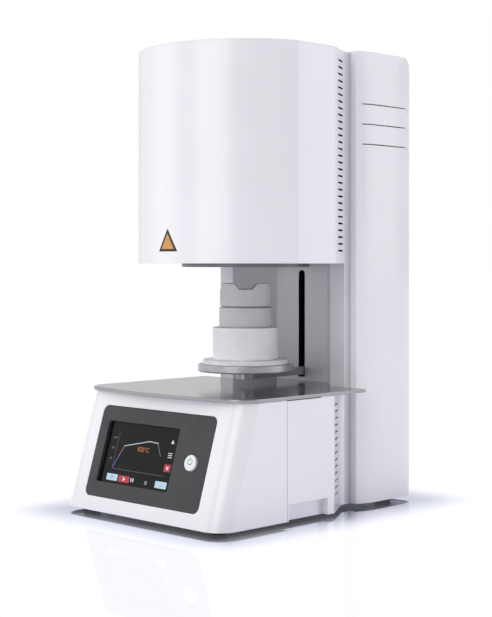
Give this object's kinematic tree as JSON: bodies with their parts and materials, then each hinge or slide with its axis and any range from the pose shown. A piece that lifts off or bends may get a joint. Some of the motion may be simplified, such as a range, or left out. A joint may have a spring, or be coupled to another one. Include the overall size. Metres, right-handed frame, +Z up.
{
  "type": "kiln",
  "caption": "Bench-top bottom-loading ceramic kiln: heating head on a rear tower, motor-driven lift table with plinth and crucible, base with touch screen.",
  "frame": {"origin": "on the floor, centre of the overall box, under the vertical axis of the lift table and heating chamber", "axes": "+Z up, -Y towards the front with the screen, +X to the right seen from the front"},
  "size_m": [0.3818, 0.4928, 0.7641],
  "materials": {
    "white_shell": "smooth satin white enamel",
    "tower_white": "smooth satin white enamel",
    "column_grey": "satin light grey",
    "deck_steel": "polished stainless sheet",
    "table_steel": "fine turned, satin",
    "inner_steel": "zinc plated, dull",
    "flange_steel": "heat-darkened",
    "bezel_grey": "fine matt grain",
    "screen_glass": "gloss black",
    "display_black": "matt",
    "button_white": "gloss white",
    "black_plastic": "matt",
    "board_green": "solder mask",
    "core_iron": "laminated, varnished",
    "coil_copper": "varnished copper",
    "heat_sink": "extruded",
    "foot_rubber": "matt black",
    "ceramic_white": "fine speckled fireclay",
    "fibre_board": "pressed fibre board",
    "element_dark": "silicide rod with glaze",
    "precision_steel": "ground",
    "carriage_alloy": "machined, anodised",
    "nut_bronze": "machined",
    "screw_zinc": "zinc plated"
  },
  "bodies": {
    "body": {"front_cover": "white_shell", "side_panel_right": "white_shell", "side_panel_left": "white_shell", "head_casing": "white_shell", "head_top_cover": "white_shell", "tower_shell": "tower_white", "rear_panel": "tower_white", "column_pillars": "column_grey", "recess_plate": "column_grey", "cover_brackets": "inner_steel", "deck_plate": "deck_steel", "base_pan": "inner_steel", "feet": "foot_rubber", "control_bezel": "bezel_grey", "touch_screen_glass": "screen_glass", "display_module": "display_black", "board_spacers": "screw_zinc", "controller_board": "board_green", "power_button_barrel": "black_plastic", "transformer_core": "core_iron", "transformer_coil": "coil_copper", "power_heat_sink": "heat_sink", "power_module": "black_plastic", "tower_floor": "inner_steel", "rear_panel_screws": "screw_zinc", "fan_frame": "black_plastic", "mains_inlet": "black_plastic", "main_switch_frame": "black_plastic", "head_floor": "inner_steel", "throat_flange": "flange_steel", "insulation_lower": "fibre_board", "insulation_middle": "fibre_board", "insulation_roof": "fibre_board", "insulation_can": "inner_steel", "heating_elements": "element_dark", "element_clamps": "fibre_board", "thermocouple": "ceramic_white", "screw_bracket_lower": "carriage_alloy", "screw_bracket_upper": "carriage_alloy", "screw_bearings": "precision_steel", "motor_plate": "carriage_alloy", "lift_motor": "core_iron", "guide_rods": "precision_steel", "mast_plate": "inner_steel"},
    "lift_table": {"table_disc": "table_steel", "table_boss": "table_steel", "lift_arm": "table_steel", "ceramic_base_plate": "ceramic_white", "plinth_lower": "ceramic_white", "plinth_upper": "ceramic_white", "lift_carriage": "carriage_alloy", "linear_bearings": "precision_steel", "lead_nut": "nut_bronze"},
    "crucible": {"crucible": "ceramic_white"},
    "drive_screw": {"lead_screw": "precision_steel", "shaft_coupling": "carriage_alloy", "motor_shaft": "precision_steel"},
    "power_button": {"power_button_cap": "button_white"},
    "fan_rotor": {"fan_rotor": "black_plastic"},
    "main_switch": {"main_switch_rocker": "black_plastic"}
  },
  "joints": [
    {"name": "table_lift", "type": "slide", "parent": "body", "child": "lift_table", "axis": [0, 0, 1], "range_m": [0, 0.163]},
    {"name": "drive_screw_turn", "type": "hinge", "parent": "body", "child": "drive_screw", "pos_m": [0, 0.182, 0.3], "axis": [0, 0, 1], "range_deg": [0, 7340]},
    {"name": "crucible_lift_off", "type": "slide", "parent": "lift_table", "child": "crucible", "axis": [0, 0, 1], "range_m": [0, 0.028]},
    {"name": "power_button_press", "type": "slide", "parent": "body", "child": "power_button", "axis": [0, 0.9554, -0.2952], "range_m": [0, 0.003], "stiffness_N_per_m": 500},
    {"name": "fan_spin", "type": "hinge", "parent": "body", "child": "fan_rotor", "pos_m": [0, 0.2294, 0.59], "axis": [0, 1, 0], "continuous": true},
    {"name": "main_switch_rock", "type": "hinge", "parent": "body", "child": "main_switch", "pos_m": [0.01, 0.2369, 0.07], "axis": [1, 0, 0], "range_deg": [0, 12]}
  ],
  "couplings": [
    {"joint": "drive_screw_turn", "follows": "table_lift", "rad_per_m": 785.4}
  ]
}
